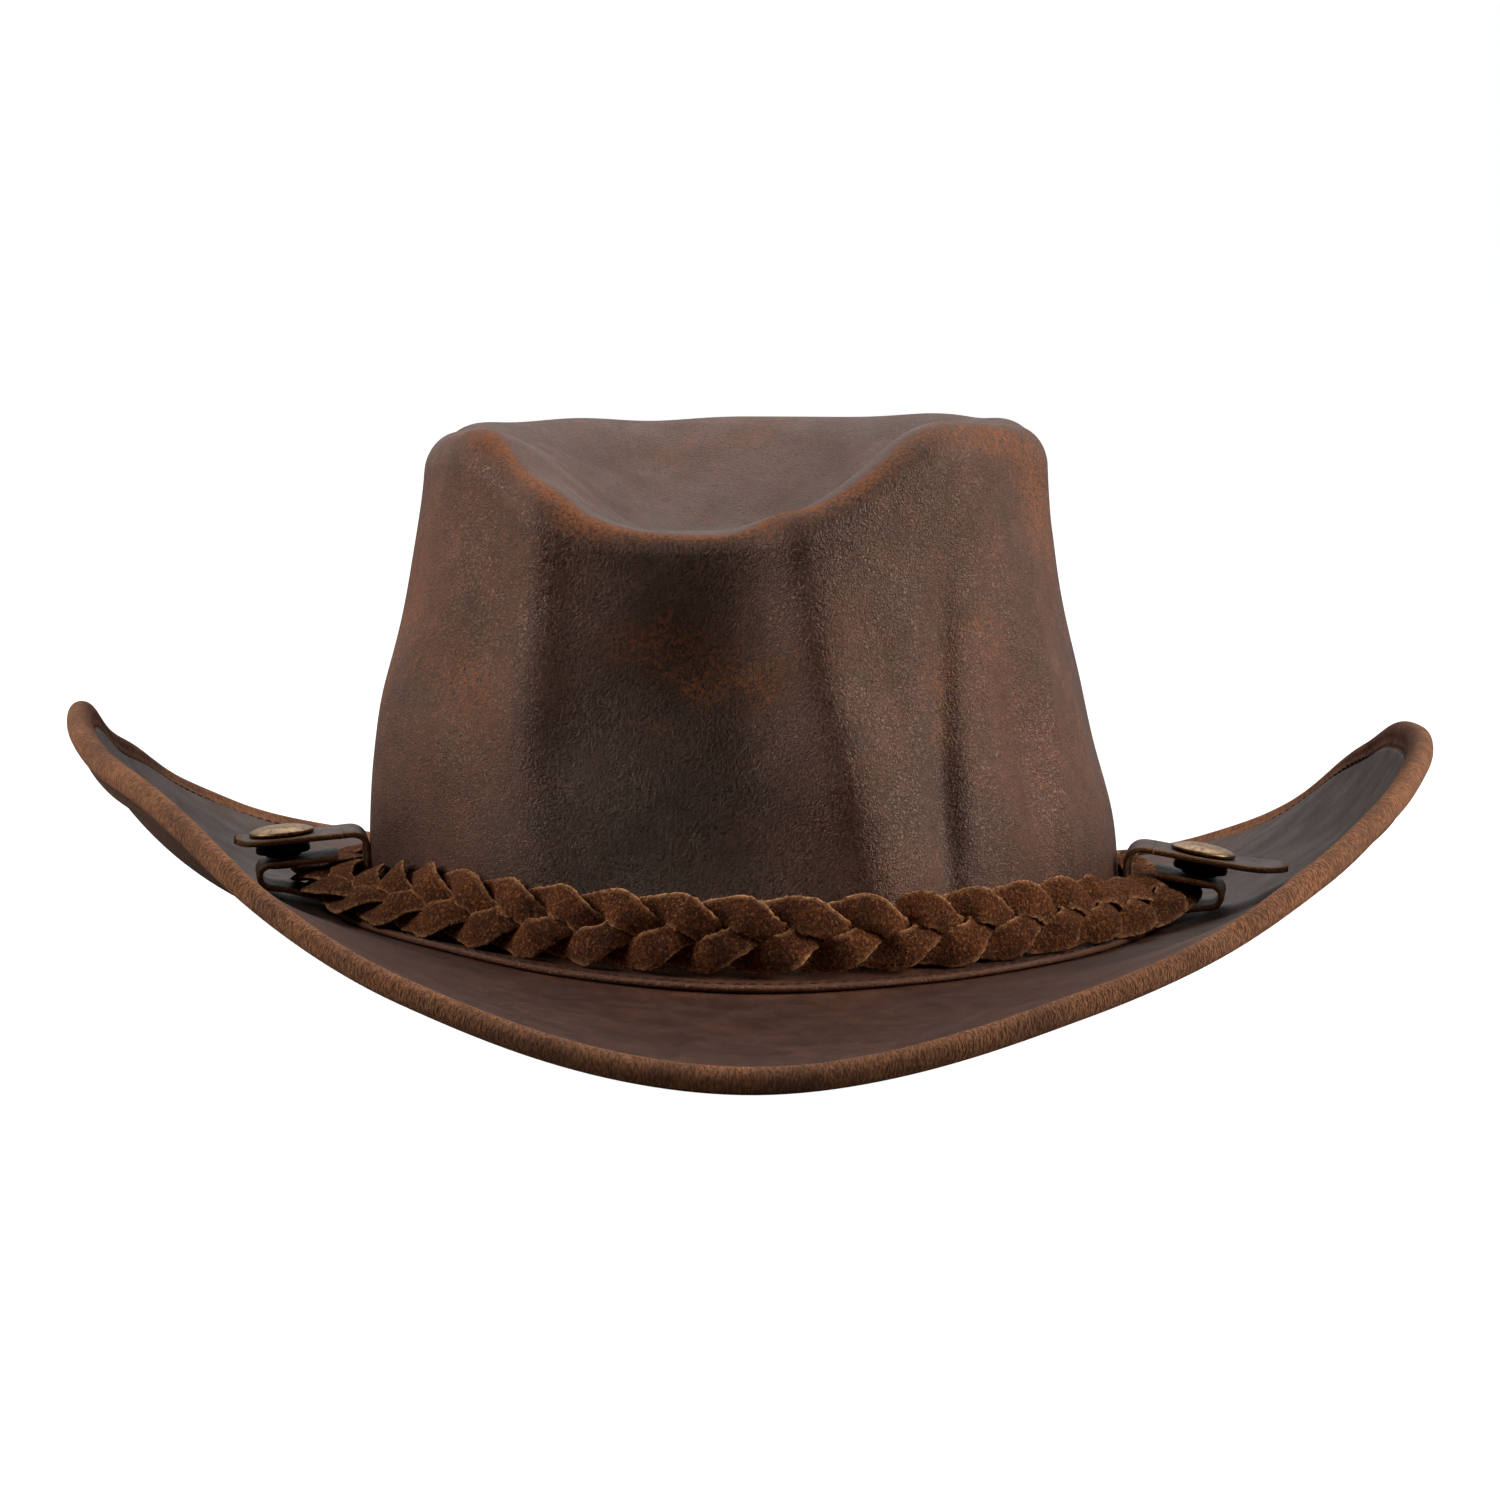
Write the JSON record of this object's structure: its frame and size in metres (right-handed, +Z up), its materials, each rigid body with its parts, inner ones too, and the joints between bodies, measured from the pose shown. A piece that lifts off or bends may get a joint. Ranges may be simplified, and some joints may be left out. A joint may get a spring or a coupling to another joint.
{
  "type": "cowboy hat",
  "caption": "Brown leather cowboy hat with a pinched, dished crown, a wired brim curled up at the sides, a plaited suede band and press-stud keeper straps.",
  "frame": {"origin": "centre of the brim's footprint, on the surface the brim stands on", "axes": "+Z up, the front of the hat faces -Y, +X is the wearer's left"},
  "size_m": [0.3192, 0.385, 0.132],
  "materials": {
    "crown_leather": "waxed pull-up leather, rubbed tan along the folds",
    "brim_leather": "waxed pull-up leather, smooth, fuzzy tan on the rolled edge",
    "lining_leather": "plain smooth lining leather",
    "strap_leather": "dark faces, tan raw edges",
    "suede": "rust-brown suede with raw tan edges",
    "thread": "waxed sewing thread",
    "steel_wire": "drawn wire",
    "antique_brass": "antiqued, worn bright on top",
    "black_metal": "blackened"
  },
  "bodies": {
    "hat": {"crown": "crown_leather", "crown_thread": "thread", "brim": "brim_leather", "brim_wire": "steel_wire", "hem_thread": "thread", "sweatband": "lining_leather", "plait_strand_a": "suede", "plait_strand_b": "suede", "plait_strand_c": "suede", "plait_wrap": "suede", "left_keeper_loop": "strap_leather", "left_snap_stud": "black_metal", "left_snap_post": "black_metal", "right_keeper_loop": "strap_leather", "right_snap_stud": "black_metal", "right_snap_post": "black_metal"},
    "left_flap": {"left_keeper_flap": "strap_leather", "left_snap_cap": "antique_brass", "left_snap_socket": "black_metal"},
    "right_flap": {"right_keeper_flap": "strap_leather", "right_snap_cap": "antique_brass", "right_snap_socket": "black_metal"}
  },
  "joints": [
    {"name": "left_flap_lift", "type": "hinge", "parent": "hat", "child": "left_flap", "pos_m": [0.0954, -0.01346, 0.03254], "axis": [-0.1033, -0.9947, 0], "range_deg": [0, 90]},
    {"name": "right_flap_lift", "type": "hinge", "parent": "hat", "child": "right_flap", "pos_m": [-0.09414, -0.01343, 0.03293], "axis": [-0.1033, 0.9947, 0], "range_deg": [0, 90]}
  ]
}
